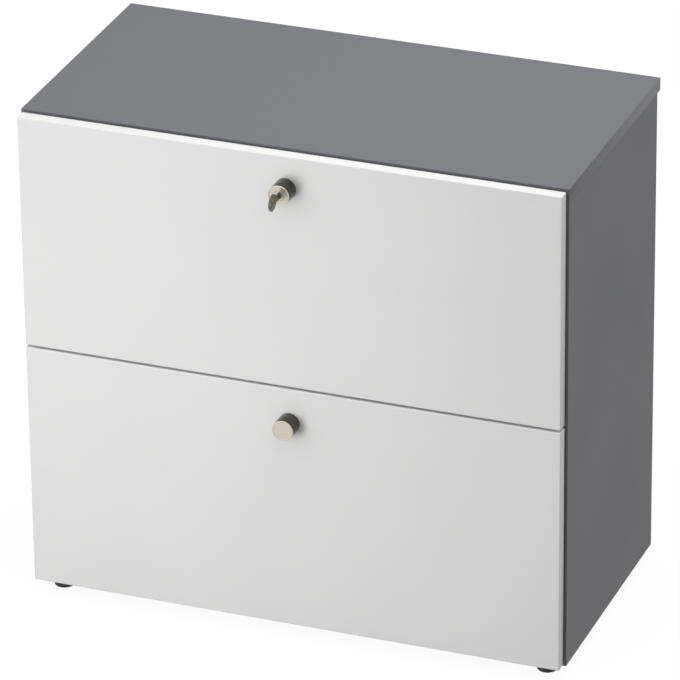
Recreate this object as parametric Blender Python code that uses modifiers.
"""Two-drawer lateral filing cabinet for hanging folders, in metres, +Z up, fronts facing -Y.

The body is made of flat boards. Each drawer is a folded steel tray behind a white overlay front,
and runs on a pair of full-extension ball runners. The upper knob holds a cam lock with its key.
The origin is on the floor, under the middle of the whole object's outline.
"""
import math

import bmesh
import bpy
from mathutils import Vector

OBJECT_NAME = "filing_cabinet"

# Whole cabinet
WIDTH = 0.800
HEIGHT = 0.750
DEPTH = 0.416                   # face of the fronts to the rear edge of the top
GLIDE_HEIGHT = 0.018            # floor to the underside of the body
REAR_OVERHANG = 0.013           # of the top, past the sides

# Boards
BOARD_THICKNESS = 0.019
BACK_THICKNESS = 0.008
MIDDLE_RAIL_THICKNESS = 0.018
MIDDLE_RAIL_DEPTH = 0.070
BOARD_EDGE_RADIUS = 0.0006

# Drawer fronts
FRONT_THICKNESS = 0.018
FRONT_STANDOFF = 0.0035         # air between a front and the body behind it
FRONT_SIDE_REVEAL = 0.003
FRONT_TOP_REVEAL = 0.0025
FRONT_BASE_REVEAL = 0.003       # lower front above the underside of the body
FRONT_GAP = 0.0035              # between the two fronts
FRONT_EDGE_RADIUS = 0.0016
LOWER_FRONT_HEIGHT = 0.372
BUMPER_DIAMETER = 0.009
BUMPER_DROP = 0.040             # below each front's top edge

# Drawer trays and the bars that folders hang on
TRAY_SHEET = 0.001
TRAY_FOLD_RADIUS = 0.003
TRAY_DROP = 0.083               # tray's rim below the top edge of its front
TRAY_FLOOR_CLEARANCE = 0.011    # under the tray
TRAY_REAR_SPACE = 0.0215        # behind the tray and the runners
TRAY_BACK_FLANGE = 0.012
BAR_SHEET = 0.002
BAR_UPSTAND = 0.016
BAR_LEG = 0.020                 # flange that is fixed to the tray's wall
SIDE_BAR_LEDGE = 0.0293         # tray's wall to the side bar
CENTRE_BAR_WIDTH = 0.016

# Ball runners, sized across the gap between a side board and a tray
RUNNER_SPACE = 0.0127
RUNNER_HEIGHT = 0.045
RUNNER_SHEET = 0.0012
RUNNER_RISE = 0.060             # runner's middle above the tray's floor
RUNNER_SETBACK = 0.002          # behind the body's front edge
RUNNER_FLANGE = 0.0083
MIDDLE_MEMBER_FLANGE = 0.0065
CAGE_SHEET = 0.0006
CAGE_LENGTH = 0.150
CAGE_FLANGE = 0.0062
BALL_DIAMETER = 0.0036
BALLS_PER_ROW = 4
BALL_GAP = 0.0001
WEB_GAP = 0.0004                # between the webs of nested members

# Knobs
KNOB_DIAMETER = 0.031
KNOB_REACH = 0.027
KNOB_RIM_CHAMFER = 0.0008
KNOB_RIM_WIDTH = 0.0016
KNOB_FACE_DISH = 0.0007
UPPER_KNOB_DROP = 0.048         # axis below the top edge of its front
LOWER_KNOB_DROP = 0.052
KNOB_SCREW_DIAMETER = 0.004
KNOB_SCREW_BITE = 0.010         # length inside the knob
KNOB_SCREW_HEAD_DIAMETER = 0.0085
KNOB_SCREW_HEAD_HEIGHT = 0.0025

# Cam lock in the upper knob
BARREL_DIAMETER = 0.018
BARREL_PROJECTION = 0.010       # behind the upper front
NUT_ACROSS_CORNERS = 0.027
NUT_HEIGHT = 0.006
CORE_DIAMETER = 0.0125
CORE_HEAD_DIAMETER = 0.015
CORE_HEAD_HEIGHT = 0.0015
CORE_SPIGOT_DIAMETER = 0.006
CORE_GAP = 0.0001               # running fit in the barrel
CAM_THICKNESS = 0.002
CAM_WIDTH = 0.013
CAM_TIP_CLEARANCE = 0.0022      # under the strike's top leg
CAM_SCREW_DIAMETER = 0.003
CAM_SCREW_BITE = 0.006
CAM_SCREW_HEAD_DIAMETER = 0.009
CAM_SCREW_HEAD_HEIGHT = 0.0022
STRIKE_SHEET = 0.002
STRIKE_WIDTH = 0.050
STRIKE_LEG = 0.025
STRIKE_OVERLAP = 0.010          # height of strike that the cam stands behind
LOCK_PLAY = 0.0015              # drawer's travel before the cam meets the strike

# Key
KEY_THICKNESS = 0.002
KEY_BLADE_HEIGHT = 0.0075
KEY_BLADE_LENGTH = 0.022
KEY_NECK_HEIGHT = 0.0095
KEY_NECK_LENGTH = 0.010
KEY_BOW_LENGTH = 0.026
KEY_BOW_HEIGHT = 0.024
KEY_BOW_HOLE_DIAMETER = 0.006
KEY_CUT_DEPTH = 0.0016
KEY_CUT_COUNT = 4
KEYWAY_GAP = 0.0002

# Adjustable glides
GLIDE_DIAMETER = 0.030
GLIDE_CHAMFER = 0.002
GLIDE_PAD_HEIGHT = 0.008
GLIDE_NECK_DIAMETER = 0.016
GLIDE_STEM_DIAMETER = 0.008
GLIDE_STEM_BITE = 0.012         # stem inside the body
GLIDE_SIDE_INSET = 0.033        # axis to the cabinet's side
GLIDE_END_INSET = 0.017         # axis to the body's front or rear edge
SOCKET_DIAMETER = 0.0136
SOCKET_DEPTH = 0.014
SOCKET_FLANGE_DIAMETER = 0.024
SOCKET_FLANGE_THICKNESS = 0.0012
STEM_GAP = 0.0001               # running fit in the socket

# Clearances and round pieces
FIT_GAP = 0.0003                # between pieces that touch
ROUND_STEPS = 32
SMALL_ROUND_STEPS = 20
ARM_STEPS = 12                  # round an end of the cam
BOW_STEPS = 28
BALL_RINGS = 4
BALL_SEGMENTS = 6
MERGE_DISTANCE = 0.00001

# Planes across the cabinet, from front to rear
KEY_REACH = KEY_NECK_LENGTH + KEY_BOW_LENGTH - KNOB_FACE_DISH
FRONT_FACE_Y = (KNOB_REACH + KEY_REACH - DEPTH) / 2
FRONT_BACK_Y = FRONT_FACE_Y + FRONT_THICKNESS
BODY_FRONT_Y = FRONT_BACK_Y + FRONT_STANDOFF
TOP_REAR_Y = FRONT_FACE_Y + DEPTH
BODY_REAR_Y = TOP_REAR_Y - REAR_OVERHANG
BACK_FACE_Y = BODY_REAR_Y - BACK_THICKNESS
RUNNER_FRONT_Y = BODY_FRONT_Y + RUNNER_SETBACK
RUNNER_REAR_Y = BACK_FACE_Y - TRAY_REAR_SPACE
RUNNER_MIDDLE_Y = (RUNNER_FRONT_Y + RUNNER_REAR_Y) / 2

# Planes across the cabinet, from floor to top
BODY_BASE_Z = GLIDE_HEIGHT
BOTTOM_TOP_Z = BODY_BASE_Z + BOARD_THICKNESS
TOP_UNDER_Z = HEIGHT - BOARD_THICKNESS
LOWER_FRONT_BASE_Z = BODY_BASE_Z + FRONT_BASE_REVEAL
LOWER_FRONT_TOP_Z = LOWER_FRONT_BASE_Z + LOWER_FRONT_HEIGHT
UPPER_FRONT_BASE_Z = LOWER_FRONT_TOP_Z + FRONT_GAP
UPPER_FRONT_TOP_Z = HEIGHT - FRONT_TOP_REVEAL
MIDDLE_RAIL_Z = LOWER_FRONT_TOP_Z + FRONT_GAP / 2
MIDDLE_RAIL_TOP_Z = MIDDLE_RAIL_Z + MIDDLE_RAIL_THICKNESS / 2
LOCK_AXIS_Z = UPPER_FRONT_TOP_Z - UPPER_KNOB_DROP
LOWER_KNOB_Z = LOWER_FRONT_TOP_Z - LOWER_KNOB_DROP

# Planes across the cabinet, from the middle to a side
HALF_WIDTH = WIDTH / 2
INSIDE_HALF = HALF_WIDTH - BOARD_THICKNESS
FRONT_HALF = HALF_WIDTH - FRONT_SIDE_REVEAL
TRAY_HALF = INSIDE_HALF - RUNNER_SPACE

# Lock planes behind the upper front
CAM_FRONT_Y = FRONT_BACK_Y + BARREL_PROJECTION + FIT_GAP
CAM_REACH = TOP_UNDER_Z - FIT_GAP - STRIKE_SHEET - CAM_TIP_CLEARANCE - LOCK_AXIS_Z
CORE_FACE = KNOB_REACH - KNOB_FACE_DISH

# Each drawer: front's lowest and highest edge, and the top of what is under its tray
DRAWERS = {
    "upper": (UPPER_FRONT_BASE_Z, UPPER_FRONT_TOP_Z, MIDDLE_RAIL_TOP_Z),
    "lower": (LOWER_FRONT_BASE_Z, LOWER_FRONT_TOP_Z, BOTTOM_TOP_Z),
}
SIDES = {"left": -1, "right": 1}


def clear_scene():
    for item in list(bpy.data.objects):
        bpy.data.objects.remove(item, do_unlink=True)


def new_collection(name):
    collection = bpy.data.collections.new(name)
    bpy.context.scene.collection.children.link(collection)
    return collection


def new_material(name, colour, roughness, metallic=0.0):
    material = bpy.data.materials.new(name)
    material.use_nodes = True
    shader = material.node_tree.nodes["Principled BSDF"]
    shader.inputs["Base Color"].default_value = (*colour, 1.0)
    shader.inputs["Roughness"].default_value = roughness
    shader.inputs["Metallic"].default_value = metallic
    material.diffuse_color = (*colour, 1.0)
    return material


clear_scene()
PARTS = new_collection(OBJECT_NAME)
CUTTERS = new_collection("cutters")

GRAPHITE = new_material("graphite_board", (0.150, 0.153, 0.168), 0.55)
WHITE = new_material("white_board", (0.70, 0.70, 0.69), 0.40)
TRAY_PAINT = new_material("tray_paint", (0.33, 0.34, 0.35), 0.45, 0.2)
BAR_STEEL = new_material("bar_steel", (0.45, 0.46, 0.47), 0.35, 0.9)
RUNNER_STEEL = new_material("runner_steel", (0.55, 0.56, 0.57), 0.30, 1.0)
CAGE_STEEL = new_material("cage_steel", (0.50, 0.47, 0.38), 0.35, 1.0)
NICKEL = new_material("satin_nickel", (0.62, 0.57, 0.49), 0.28, 1.0)
LOCK_STEEL = new_material("lock_steel", (0.48, 0.47, 0.44), 0.35, 1.0)
KEY_STEEL = new_material("key_steel", (0.30, 0.29, 0.25), 0.32, 1.0)
BLACK_PLASTIC = new_material("black_plastic", (0.018, 0.018, 0.019), 0.50)
RUBBER = new_material("bumper_rubber", (0.10, 0.10, 0.10), 0.70)


def new_empty(name, place):
    """The empty that a moving group hangs on, at a point of its joint's axis."""
    empty = bpy.data.objects.new(name, None)
    empty.location = place
    empty.empty_display_size = 0.05
    PARTS.objects.link(empty)
    return empty


def place(item, location, parent):
    """Puts an object at a world location, under an unturned parent empty where it has one."""
    item.location = Vector(location)
    if parent is not None:
        item.parent = parent
        item.location -= parent.location
    return item


def add_part(name, data, material, location=(0, 0, 0), parent=None):
    item = bpy.data.objects.new(name, data)
    data.materials.append(material)
    PARTS.objects.link(item)
    return place(item, location, parent)


def add_cutter(name, data, location=(0, 0, 0), parent=None):
    item = bpy.data.objects.new(name, data)
    CUTTERS.objects.link(item)
    item.hide_render = True
    item.display_type = "WIRE"
    return place(item, location, parent)


def combine(item, other, operation):
    """Adds an exact Boolean with another object: DIFFERENCE cuts a hole, UNION joins."""
    modifier = item.modifiers.new(other.name, "BOOLEAN")
    modifier.operation = operation
    modifier.solver = "EXACT"
    modifier.object = other


def round_edges(item, radius, segments=1):
    modifier = item.modifiers.new("rounded edges", "BEVEL")
    modifier.width = radius
    modifier.segments = segments
    modifier.limit_method = "ANGLE"
    modifier.angle_limit = math.radians(40)


def block_mesh(name, size):
    mesh = bpy.data.meshes.new(name)
    shape = bmesh.new()
    bmesh.ops.create_cube(shape, size=1.0)
    bmesh.ops.scale(shape, vec=Vector(size), verts=shape.verts)
    shape.to_mesh(mesh)
    shape.free()
    return mesh


def board(name, low, high, material, edge_radius, parent=None, segments=1):
    """A flat board between two world corners, with its edges rounded."""
    low, high = Vector(low), Vector(high)
    item = add_part(name, block_mesh(name, high - low), material, (low + high) / 2, parent)
    round_edges(item, edge_radius, segments)
    return item


def folded_strip(name, profile, along, length, sheet, material, location, parent=None, fold_radius=0.0):
    """Sheet metal bent along a profile's middle line and drawn out for a length.

    along is "y", with a profile of (x, z) points, or "x", with a profile of (y, z) points.
    """
    mesh = bpy.data.meshes.new(name)
    shape = bmesh.new()
    drawn = Vector((0, length, 0)) if along == "y" else Vector((length, 0, 0))
    points = []
    for across, up in profile:
        start = Vector((across, 0, up)) if along == "y" else Vector((0, across, up))
        points.append(shape.verts.new(start - drawn / 2))
    edges = [shape.edges.new(pair) for pair in zip(points, points[1:])]
    drawn_out = bmesh.ops.extrude_edge_only(shape, edges=edges)
    moved = [part for part in drawn_out["geom"] if isinstance(part, bmesh.types.BMVert)]
    bmesh.ops.translate(shape, vec=drawn, verts=moved)
    shape.to_mesh(mesh)
    shape.free()
    item = add_part(name, mesh, material, location, parent)
    if fold_radius:
        round_edges(item, fold_radius, 2)
    give_wall(item, sheet)
    return item


def give_wall(item, sheet):
    """Gives an open surface its wall, half on each side of it."""
    modifier = item.modifiers.new("sheet", "SOLIDIFY")
    modifier.thickness = sheet
    modifier.offset = 0.0
    modifier.use_even_offset = True


def turned_mesh(name, profile, closed):
    """A profile of (radius, height) points that runs down its outer side."""
    mesh = bpy.data.meshes.new(name)
    shape = bmesh.new()
    points = [shape.verts.new((radius, 0, height)) for radius, height in profile]
    for pair in zip(points, points[1:]):
        shape.edges.new(pair)
    if closed:
        shape.edges.new((points[-1], points[0]))
    shape.to_mesh(mesh)
    shape.free()
    return mesh


def turn(item, steps):
    modifier = item.modifiers.new("turned", "SCREW")
    modifier.axis = "Z"
    modifier.angle = math.tau
    modifier.steps = steps
    modifier.render_steps = steps
    modifier.use_merge_vertices = True
    modifier.merge_threshold = MERGE_DISTANCE
    modifier.use_smooth_shade = True


def turned(name, profile, steps, material, location, parent=None, facing_front=False, closed=False):
    """A turned piece: upright, or with its height running out of the cabinet's front."""
    item = add_part(name, turned_mesh(name, profile, closed), material, location, parent)
    if facing_front:
        item.rotation_euler.x = math.pi / 2
    turn(item, steps)
    return item


def rod_mesh(name, diameter, length, steps, centres=((0, 0, 0),)):
    """One or more upright rods with closed ends."""
    mesh = bpy.data.meshes.new(name)
    shape = bmesh.new()
    for centre in centres:
        made = bmesh.ops.create_cone(
            shape, cap_ends=True, segments=steps, radius1=diameter / 2, radius2=diameter / 2, depth=length)
        bmesh.ops.translate(shape, vec=Vector(centre), verts=made["verts"])
    shape.to_mesh(mesh)
    shape.free()
    return mesh


def flat_outline(name, outlines, thickness, material, location, turn_to, parent=None):
    """A plate from closed outlines of (x, y) points, the first outside and the rest holes."""
    curve = bpy.data.curves.new(name, "CURVE")
    curve.dimensions = "2D"
    curve.fill_mode = "BOTH"
    curve.extrude = thickness / 2
    for outline in outlines:
        spline = curve.splines.new("POLY")
        spline.points.add(len(outline) - 1)
        for point, (across, up) in zip(spline.points, outline):
            point.co = (across, up, 0, 1)
        spline.use_cyclic_u = True
    item = add_part(name, curve, material, location, parent)
    item.rotation_euler = turn_to
    return item


def arc(radius, start, end, steps, centre=(0, 0), stretch=1.0):
    """Points on an arc in degrees; stretch is its height over its width."""
    points = []
    for step in range(steps + 1):
        angle = math.radians(start + (end - start) * step / steps)
        points.append((centre[0] + radius * math.cos(angle), centre[1] + radius * stretch * math.sin(angle)))
    return points


def ring(radius, centre=(0, 0)):
    """Points all round a hole, without closing on the first one."""
    return arc(radius, 0, 360, SMALL_ROUND_STEPS, centre)[:-1]


def make_body():
    """The boards, with pockets for the glides' sockets, and the strike under the top."""
    board("top_panel", (-HALF_WIDTH, BODY_FRONT_Y, TOP_UNDER_Z), (HALF_WIDTH, TOP_REAR_Y, HEIGHT),
          GRAPHITE, BOARD_EDGE_RADIUS)
    for side, sign in SIDES.items():
        inner, outer = sorted((sign * INSIDE_HALF, sign * HALF_WIDTH))
        board(f"side_panel_{side}", (inner, BODY_FRONT_Y, BODY_BASE_Z),
              (outer, BODY_REAR_Y, TOP_UNDER_Z - FIT_GAP), GRAPHITE, BOARD_EDGE_RADIUS)
    between = INSIDE_HALF - FIT_GAP
    bottom = board("bottom_panel", (-between, BODY_FRONT_Y, BODY_BASE_Z),
                   (between, BACK_FACE_Y - FIT_GAP, BOTTOM_TOP_Z), GRAPHITE, BOARD_EDGE_RADIUS)
    board("back_panel", (-between, BACK_FACE_Y, BODY_BASE_Z),
          (between, BODY_REAR_Y, TOP_UNDER_Z - FIT_GAP), GRAPHITE, BOARD_EDGE_RADIUS)
    board("middle_rail", (-between, BODY_FRONT_Y, MIDDLE_RAIL_Z - MIDDLE_RAIL_THICKNESS / 2),
          (between, BODY_FRONT_Y + MIDDLE_RAIL_DEPTH, MIDDLE_RAIL_TOP_Z), GRAPHITE, BOARD_EDGE_RADIUS)
    pocket_depth = 2 * (SOCKET_DEPTH + FIT_GAP)
    pockets = rod_mesh("socket_pockets", SOCKET_DIAMETER + 2 * FIT_GAP, pocket_depth,
                       SMALL_ROUND_STEPS, glide_centres().values())
    combine(bottom, add_cutter("socket_pockets", pockets, (0, 0, BODY_BASE_Z)), "DIFFERENCE")
    make_strike()


def make_strike():
    """An angle under the top: its front leg hangs just in front of the raised cam."""
    top = TOP_UNDER_Z - FIT_GAP - STRIKE_SHEET / 2
    lowest = LOCK_AXIS_Z + CAM_REACH - STRIKE_OVERLAP
    front_leg = CAM_FRONT_Y - LOCK_PLAY - STRIKE_SHEET / 2
    profile = [(0, lowest - top), (0, 0), (STRIKE_LEG, 0)]
    folded_strip("lock_strike", profile, "x", STRIKE_WIDTH, STRIKE_SHEET, LOCK_STEEL, (0, front_leg, top))


def glide_centres():
    """Where the four glides stand, named by corner."""
    across = HALF_WIDTH - GLIDE_SIDE_INSET
    ends = {"front": BODY_FRONT_Y + GLIDE_END_INSET, "rear": BACK_FACE_Y - GLIDE_END_INSET}
    return {f"{end}_{side}": (sign * across, along, 0)
            for end, along in ends.items() for side, sign in SIDES.items()}


def make_glides():
    """Four threaded sockets let into the bottom board, and the glides that screw into them."""
    neck_top = BODY_BASE_Z - SOCKET_FLANGE_THICKNESS - 2 * FIT_GAP
    stem = GLIDE_STEM_DIAMETER / 2
    foot_profile = [
        (0, BODY_BASE_Z + GLIDE_STEM_BITE),
        (stem, BODY_BASE_Z + GLIDE_STEM_BITE),
        (stem, neck_top),
        (GLIDE_NECK_DIAMETER / 2, neck_top),
        (GLIDE_DIAMETER / 2, GLIDE_PAD_HEIGHT),
        (GLIDE_DIAMETER / 2, GLIDE_CHAMFER),
        (GLIDE_DIAMETER / 2 - GLIDE_CHAMFER, 0),
        (0, 0),
    ]
    tube_top = SOCKET_DEPTH
    flange_top = -FIT_GAP
    flange_base = flange_top - SOCKET_FLANGE_THICKNESS
    bore = stem + STEM_GAP
    socket_profile = [
        (SOCKET_DIAMETER / 2, tube_top),
        (SOCKET_DIAMETER / 2, flange_top),
        (SOCKET_FLANGE_DIAMETER / 2, flange_top),
        (SOCKET_FLANGE_DIAMETER / 2, flange_base),
        (bore, flange_base),
        (bore, tube_top),
    ]
    for corner, centre in glide_centres().items():
        across, along, _ = centre
        turned(f"glide_socket_{corner}", socket_profile, SMALL_ROUND_STEPS, LOCK_STEEL,
               (across, along, BODY_BASE_Z), closed=True)
        screw_axis = new_empty(f"glide_{corner}_axis", (across, along, 0))
        turned(f"glide_{corner}", foot_profile, SMALL_ROUND_STEPS, BLACK_PLASTIC,
               (across, along, 0), screw_axis)


def channel(flange, half_height, sign):
    """Middle line of a C section: flanges reach towards the cabinet's middle for a sign of 1."""
    return [(-sign * flange, half_height), (0, half_height), (0, -half_height), (-sign * flange, -half_height)]


def cage_balls(name, offset, rise):
    """Two rows of balls, above and below a cage's middle."""
    mesh = bpy.data.meshes.new(name)
    shape = bmesh.new()
    pitch = CAGE_LENGTH / BALLS_PER_ROW
    for row in (-rise, rise):
        for number in range(BALLS_PER_ROW):
            made = bmesh.ops.create_uvsphere(
                shape, u_segments=BALL_SEGMENTS, v_segments=BALL_RINGS, radius=BALL_DIAMETER / 2)
            along = (number + 0.5) * pitch - CAGE_LENGTH / 2
            bmesh.ops.translate(shape, vec=Vector((offset, along, row)), verts=made["verts"])
    shape.to_mesh(mesh)
    shape.free()
    return mesh


def make_cage(name, web, rise, side_x, sign, height, parent):
    """A folded ball cage whose web is a distance from the side board, with its balls."""
    location = (side_x - sign * web, RUNNER_MIDDLE_Y, height)
    cage = folded_strip(name, channel(CAGE_FLANGE, rise, sign), "y", CAGE_LENGTH, CAGE_SHEET,
                        CAGE_STEEL, location, parent)
    ball_offset = -sign * (CAGE_FLANGE - BALL_DIAMETER / 2)
    balls = add_cutter(f"{name}_balls", cage_balls(f"{name}_balls", ball_offset, rise), location, parent)
    combine(cage, balls, "UNION")


def make_runners(drawer, height, slide, middle_slide, outer_cage_slide, inner_cage_slide):
    """A pair of three-member ball runners: outer on the side board, inner on the tray."""
    length = RUNNER_REAR_Y - RUNNER_FRONT_Y
    sheet = RUNNER_SHEET
    step = BALL_DIAMETER + 2 * BALL_GAP + sheet
    outer_half = (RUNNER_HEIGHT - sheet) / 2
    middle_half = outer_half - step
    inner_half = middle_half - step
    outer_web = FIT_GAP + sheet / 2
    outer_cage_web = outer_web + sheet / 2 + WEB_GAP + CAGE_SHEET / 2
    middle_web = outer_cage_web + CAGE_SHEET / 2 + WEB_GAP + sheet / 2
    inner_cage_web = middle_web + sheet / 2 + WEB_GAP + CAGE_SHEET / 2
    inner_web = RUNNER_SPACE - FIT_GAP - sheet / 2
    inner_flange = inner_web - inner_cage_web - CAGE_SHEET / 2 - WEB_GAP
    for side, sign in SIDES.items():
        board_x = sign * INSIDE_HALF

        def member(part, web, profile, parent):
            folded_strip(f"{drawer}_runner_{part}_{side}", profile, "y", length, sheet, RUNNER_STEEL,
                         (board_x - sign * web, RUNNER_MIDDLE_Y, height), parent)

        member("outer", outer_web, channel(RUNNER_FLANGE, outer_half, sign), None)
        member("middle", middle_web, channel(MIDDLE_MEMBER_FLANGE, middle_half, sign), middle_slide)
        member("inner", inner_web, channel(inner_flange, inner_half, -sign), slide)
        make_cage(f"{drawer}_ball_cage_outer_{side}", outer_cage_web, (outer_half + middle_half) / 2,
                  board_x, sign, height, outer_cage_slide)
        make_cage(f"{drawer}_ball_cage_inner_{side}", inner_cage_web, (middle_half + inner_half) / 2,
                  board_x, sign, height, inner_cage_slide)


def make_tray(drawer, floor, rim, slide):
    """A tray folded from one sheet, open at its rear, which a flanged back plate closes."""
    front = FRONT_BACK_Y + FIT_GAP
    low = Vector((-TRAY_HALF, front, floor)) + Vector((1, 1, 1)) * TRAY_SHEET / 2
    high = Vector((TRAY_HALF, RUNNER_REAR_Y, rim)) - Vector((1, 0, 0)) * TRAY_SHEET / 2
    mesh = block_mesh(f"{drawer}_tray", high - low)
    shape = bmesh.new()
    shape.from_mesh(mesh)
    open_faces = [face for face in shape.faces if face.normal.z > 0.5 or face.normal.y > 0.5]
    bmesh.ops.delete(shape, geom=open_faces, context="FACES_ONLY")
    shape.to_mesh(mesh)
    shape.free()
    tray = add_part(f"{drawer}_tray", mesh, TRAY_PAINT, (low + high) / 2, slide)
    round_edges(tray, TRAY_FOLD_RADIUS, 2)
    give_wall(tray, TRAY_SHEET)

    inside = TRAY_HALF - TRAY_SHEET - FIT_GAP
    plate_base = floor + TRAY_SHEET + TRAY_FOLD_RADIUS
    plate_top = rim - TRAY_SHEET / 2
    profile = [(0, plate_base - plate_top), (0, 0), (-TRAY_BACK_FLANGE, 0)]
    folded_strip(f"{drawer}_tray_back", profile, "x", 2 * inside, TRAY_SHEET, TRAY_PAINT,
                 (0, RUNNER_REAR_Y - TRAY_SHEET, plate_top), slide)


def make_file_bars(drawer, rim, slide):
    """Bars that folders hang on: one along each wall, and a double one down the middle."""
    start = FRONT_BACK_Y + 2 * FIT_GAP + TRAY_SHEET
    end = RUNNER_REAR_Y - TRAY_BACK_FLANGE - 2 * TRAY_SHEET - FIT_GAP
    wall = TRAY_HALF - TRAY_SHEET - FIT_GAP - BAR_SHEET / 2
    bar = TRAY_HALF - TRAY_SHEET - SIDE_BAR_LEDGE
    foot = -BAR_UPSTAND - BAR_LEG
    half = CENTRE_BAR_WIDTH / 2

    def file_bar(part, front_end, profile):
        folded_strip(f"{drawer}_file_bar_{part}", profile, "y", end - front_end, BAR_SHEET, BAR_STEEL,
                     (0, (front_end + end) / 2, rim), slide)

    for side, sign in SIDES.items():
        file_bar(side, start + TRAY_FOLD_RADIUS,
                 [(sign * bar, 0), (sign * bar, -BAR_UPSTAND), (sign * wall, -BAR_UPSTAND), (sign * wall, foot)])
    file_bar("centre", start, [(-half, 0), (-half, -BAR_UPSTAND), (half, -BAR_UPSTAND), (half, 0)])


def make_front(drawer, base, top, slide):
    """A white overlay front, with soft bumpers that meet the edges of the side boards."""
    front = board(f"{drawer}_front", (-FRONT_HALF, FRONT_FACE_Y, base), (FRONT_HALF, FRONT_BACK_Y, top),
                  WHITE, FRONT_EDGE_RADIUS, slide, 3)
    thickness = FRONT_STANDOFF - 2 * FIT_GAP
    for side, sign in SIDES.items():
        bumper = add_part(f"{drawer}_bumper_{side}",
                          rod_mesh(f"{drawer}_bumper_{side}", BUMPER_DIAMETER, thickness, SMALL_ROUND_STEPS),
                          RUBBER, (sign * (HALF_WIDTH - BOARD_THICKNESS / 2),
                                   FRONT_BACK_Y + FRONT_STANDOFF / 2, top - BUMPER_DROP), slide)
        bumper.rotation_euler.x = math.pi / 2
    return front


def drill_front(front, name, diameter, height, slide):
    """A hole through a front, on a knob's axis."""
    drill = add_cutter(name, rod_mesh(name, diameter, 2 * FRONT_THICKNESS, ROUND_STEPS),
                       (0, FRONT_FACE_Y + FRONT_THICKNESS / 2, height), slide)
    drill.rotation_euler.x = math.pi / 2
    combine(front, drill, "DIFFERENCE")


def knob_outside():
    """Outer line of both knobs, from the rim around the dished face down to the front."""
    radius = KNOB_DIAMETER / 2
    lip = radius - KNOB_RIM_CHAMFER
    return [
        (lip - KNOB_RIM_WIDTH, CORE_FACE),
        (lip - KNOB_RIM_WIDTH + KNOB_FACE_DISH, KNOB_REACH),
        (lip, KNOB_REACH),
        (radius, KNOB_REACH - KNOB_RIM_CHAMFER),
        (radius, FIT_GAP),
    ]


def make_lower_knob(slide):
    """A plain knob, held by a machine screw from behind the lower front."""
    screw = KNOB_SCREW_DIAMETER / 2
    tapped = screw + FIT_GAP
    bite_end = KNOB_SCREW_BITE + 2 * FIT_GAP
    profile = [(0, CORE_FACE), *knob_outside(), (tapped, FIT_GAP), (tapped, bite_end), (0, bite_end)]
    axis = (0, FRONT_FACE_Y, LOWER_KNOB_Z)
    turned("lower_knob", profile, ROUND_STEPS, NICKEL, axis, slide, facing_front=True)
    head_face = -FRONT_THICKNESS - FIT_GAP
    head_top = head_face - KNOB_SCREW_HEAD_HEIGHT
    head = KNOB_SCREW_HEAD_DIAMETER / 2
    screw_profile = [(0, KNOB_SCREW_BITE), (screw, KNOB_SCREW_BITE), (screw, head_face),
                     (head, head_face), (head, head_top), (0, head_top)]
    turned("lower_knob_screw", screw_profile, SMALL_ROUND_STEPS, LOCK_STEEL, axis, slide, facing_front=True)


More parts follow.
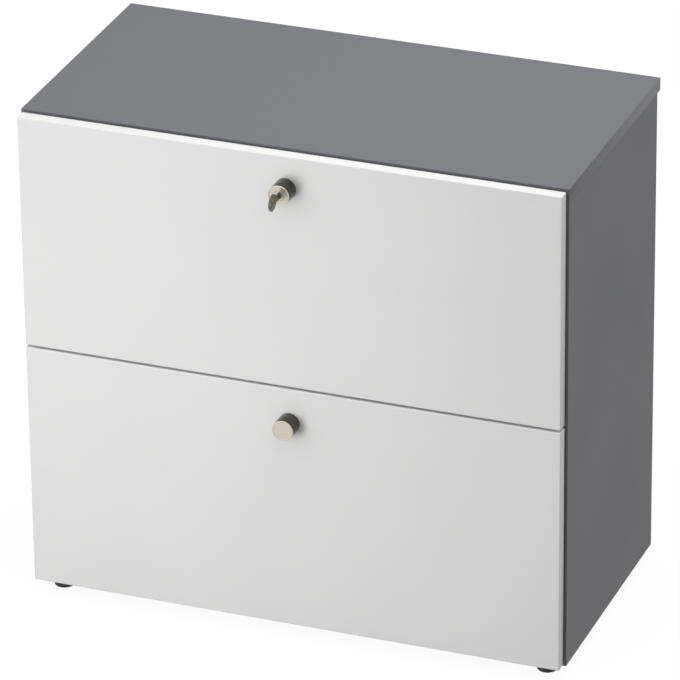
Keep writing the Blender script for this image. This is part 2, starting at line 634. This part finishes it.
def make_lock(slide, core_axis):
    """The upper knob is the lock's housing: its barrel passes through the front to a nut."""
    axis = (0, FRONT_FACE_Y, LOCK_AXIS_Z)
    barrel = BARREL_DIAMETER / 2
    barrel_end = -FRONT_THICKNESS - BARREL_PROJECTION
    bore = CORE_DIAMETER / 2 + CORE_GAP
    head_bore = CORE_HEAD_DIAMETER / 2 + CORE_GAP
    head_seat = CORE_FACE - CORE_HEAD_HEIGHT - FIT_GAP
    housing = [*knob_outside(), (barrel, FIT_GAP), (barrel, barrel_end), (bore, barrel_end),
               (bore, head_seat), (head_bore, head_seat), (head_bore, CORE_FACE)]
    turned("lock_knob", housing, ROUND_STEPS, NICKEL, axis, slide, facing_front=True, closed=True)

    nut_place = (0, FRONT_BACK_Y + FIT_GAP + NUT_HEIGHT / 2, LOCK_AXIS_Z)
    nut = add_part("lock_nut", rod_mesh("lock_nut", NUT_ACROSS_CORNERS, NUT_HEIGHT, 6), LOCK_STEEL,
                   nut_place, slide)
    nut.rotation_euler.x = math.pi / 2
    thread = add_cutter("nut_thread", rod_mesh("nut_thread", BARREL_DIAMETER + 2 * FIT_GAP,
                                               2 * NUT_HEIGHT, ROUND_STEPS), nut_place, slide)
    thread.rotation_euler.x = math.pi / 2
    combine(nut, thread, "DIFFERENCE")

    core = CORE_DIAMETER / 2
    core_head = CORE_HEAD_DIAMETER / 2
    spigot = CORE_SPIGOT_DIAMETER / 2
    screw = CAM_SCREW_DIAMETER / 2
    core_end = barrel_end - FIT_GAP + CORE_GAP
    cam_back = barrel_end - FIT_GAP - CAM_THICKNESS
    bite_end = cam_back + CAM_SCREW_BITE + 2 * FIT_GAP
    core_profile = [
        (0, CORE_FACE), (core_head, CORE_FACE), (core_head, CORE_FACE - CORE_HEAD_HEIGHT),
        (core, CORE_FACE - CORE_HEAD_HEIGHT), (core, core_end), (spigot, core_end),
        (spigot, cam_back), (screw + FIT_GAP, cam_back), (screw + FIT_GAP, bite_end), (0, bite_end),
    ]
    core_part = turned("lock_core", core_profile, ROUND_STEPS, LOCK_STEEL, axis, core_axis, facing_front=True)
    keyway_depth = KEY_BLADE_LENGTH + 2 * FIT_GAP
    keyway_size = (KEY_THICKNESS + 2 * KEYWAY_GAP, 2 * keyway_depth, KEY_BLADE_HEIGHT + 2 * KEYWAY_GAP)
    keyway = add_cutter("keyway", block_mesh("keyway", keyway_size),
                        (0, FRONT_FACE_Y - CORE_FACE, LOCK_AXIS_Z), core_axis)
    combine(core_part, keyway, "DIFFERENCE")

    half = CAM_WIDTH / 2
    outline = arc(half, 90, -90, ARM_STEPS) + arc(half, -90, -270, ARM_STEPS, (half - CAM_REACH, 0))
    hole = ring(spigot + CORE_GAP)
    flat_outline("lock_cam", [outline, hole], CAM_THICKNESS, LOCK_STEEL,
                 (0, CAM_FRONT_Y + CAM_THICKNESS / 2, LOCK_AXIS_Z), (math.pi / 2, 0, 0), core_axis)
    head_face = cam_back - FIT_GAP
    head = CAM_SCREW_HEAD_DIAMETER / 2
    bite = cam_back + CAM_SCREW_BITE
    screw_profile = [(0, bite), (screw, bite), (screw, head_face), (head, head_face),
                     (head, head_face - CAM_SCREW_HEAD_HEIGHT), (0, head_face - CAM_SCREW_HEAD_HEIGHT)]
    turned("cam_screw", screw_profile, SMALL_ROUND_STEPS, LOCK_STEEL, axis, core_axis, facing_front=True)


def make_key(key_axis):
    """A flat key in the lock: cut blade, shoulder and oval bow, seen edge on from the front."""
    blade = KEY_BLADE_HEIGHT / 2
    neck = KEY_NECK_HEIGHT / 2
    shoulder = FIT_GAP
    bow = KEY_BOW_LENGTH / 2
    bow_centre = (KEY_NECK_LENGTH + bow, 0)
    stretch = KEY_BOW_HEIGHT / KEY_BOW_LENGTH
    opening = math.degrees(math.asin(neck / (bow * stretch)))
    tip = blade / 2
    outline = [(shoulder, -neck), *arc(bow, opening - 180, 180 - opening, BOW_STEPS, bow_centre, stretch),
               (shoulder, neck), (shoulder, blade), (tip - KEY_BLADE_LENGTH, blade),
               (-KEY_BLADE_LENGTH, 0), (tip - KEY_BLADE_LENGTH, -blade)]
    cut_pitch = (KEY_BLADE_LENGTH - tip) / (KEY_CUT_COUNT + 1)
    for number in range(KEY_CUT_COUNT):
        middle = tip - KEY_BLADE_LENGTH + (number + 1) * cut_pitch
        depth = KEY_CUT_DEPTH * (1 + number % 2) / 2
        outline += [(middle - depth, -blade), (middle, depth - blade), (middle + depth, -blade)]
    outline.append((shoulder, -blade))
    hole_centre = (bow_centre[0] + bow / 2, 0)
    hole = ring(KEY_BOW_HOLE_DIAMETER / 2, hole_centre)
    flat_outline("key", [outline, hole], KEY_THICKNESS, KEY_STEEL,
                 (0, FRONT_FACE_Y - CORE_FACE, LOCK_AXIS_Z), (math.pi / 2, 0, -math.pi / 2), key_axis)


def make_drawers():
    for drawer, (base, top, support) in DRAWERS.items():
        floor = support + TRAY_FLOOR_CLEARANCE
        rim = top - TRAY_DROP
        runner_z = floor + RUNNER_RISE
        start = (0, FRONT_FACE_Y, runner_z)
        slide = new_empty(f"{drawer}_drawer_slide", start)
        middle_slide = new_empty(f"{drawer}_runner_middle_slide", start)
        outer_cage_slide = new_empty(f"{drawer}_ball_cage_outer_slide", start)
        inner_cage_slide = new_empty(f"{drawer}_ball_cage_inner_slide", start)
        front = make_front(drawer, base, top, slide)
        make_tray(drawer, floor, rim, slide)
        make_file_bars(drawer, rim, slide)
        make_runners(drawer, runner_z, slide, middle_slide, outer_cage_slide, inner_cage_slide)
        if drawer == "upper":
            drill_front(front, "barrel_hole", BARREL_DIAMETER + 2 * FIT_GAP, LOCK_AXIS_Z, slide)
            core_axis = new_empty("lock_core_axis", (0, FRONT_FACE_Y, LOCK_AXIS_Z))
            key_axis = new_empty("key_axis", (0, FRONT_FACE_Y - KNOB_REACH, LOCK_AXIS_Z))
            make_lock(slide, core_axis)
            make_key(key_axis)
        else:
            drill_front(front, "knob_screw_hole", KNOB_SCREW_DIAMETER + 2 * FIT_GAP, LOWER_KNOB_Z, slide)
            make_lower_knob(slide)


make_body()
make_glides()
make_drawers()
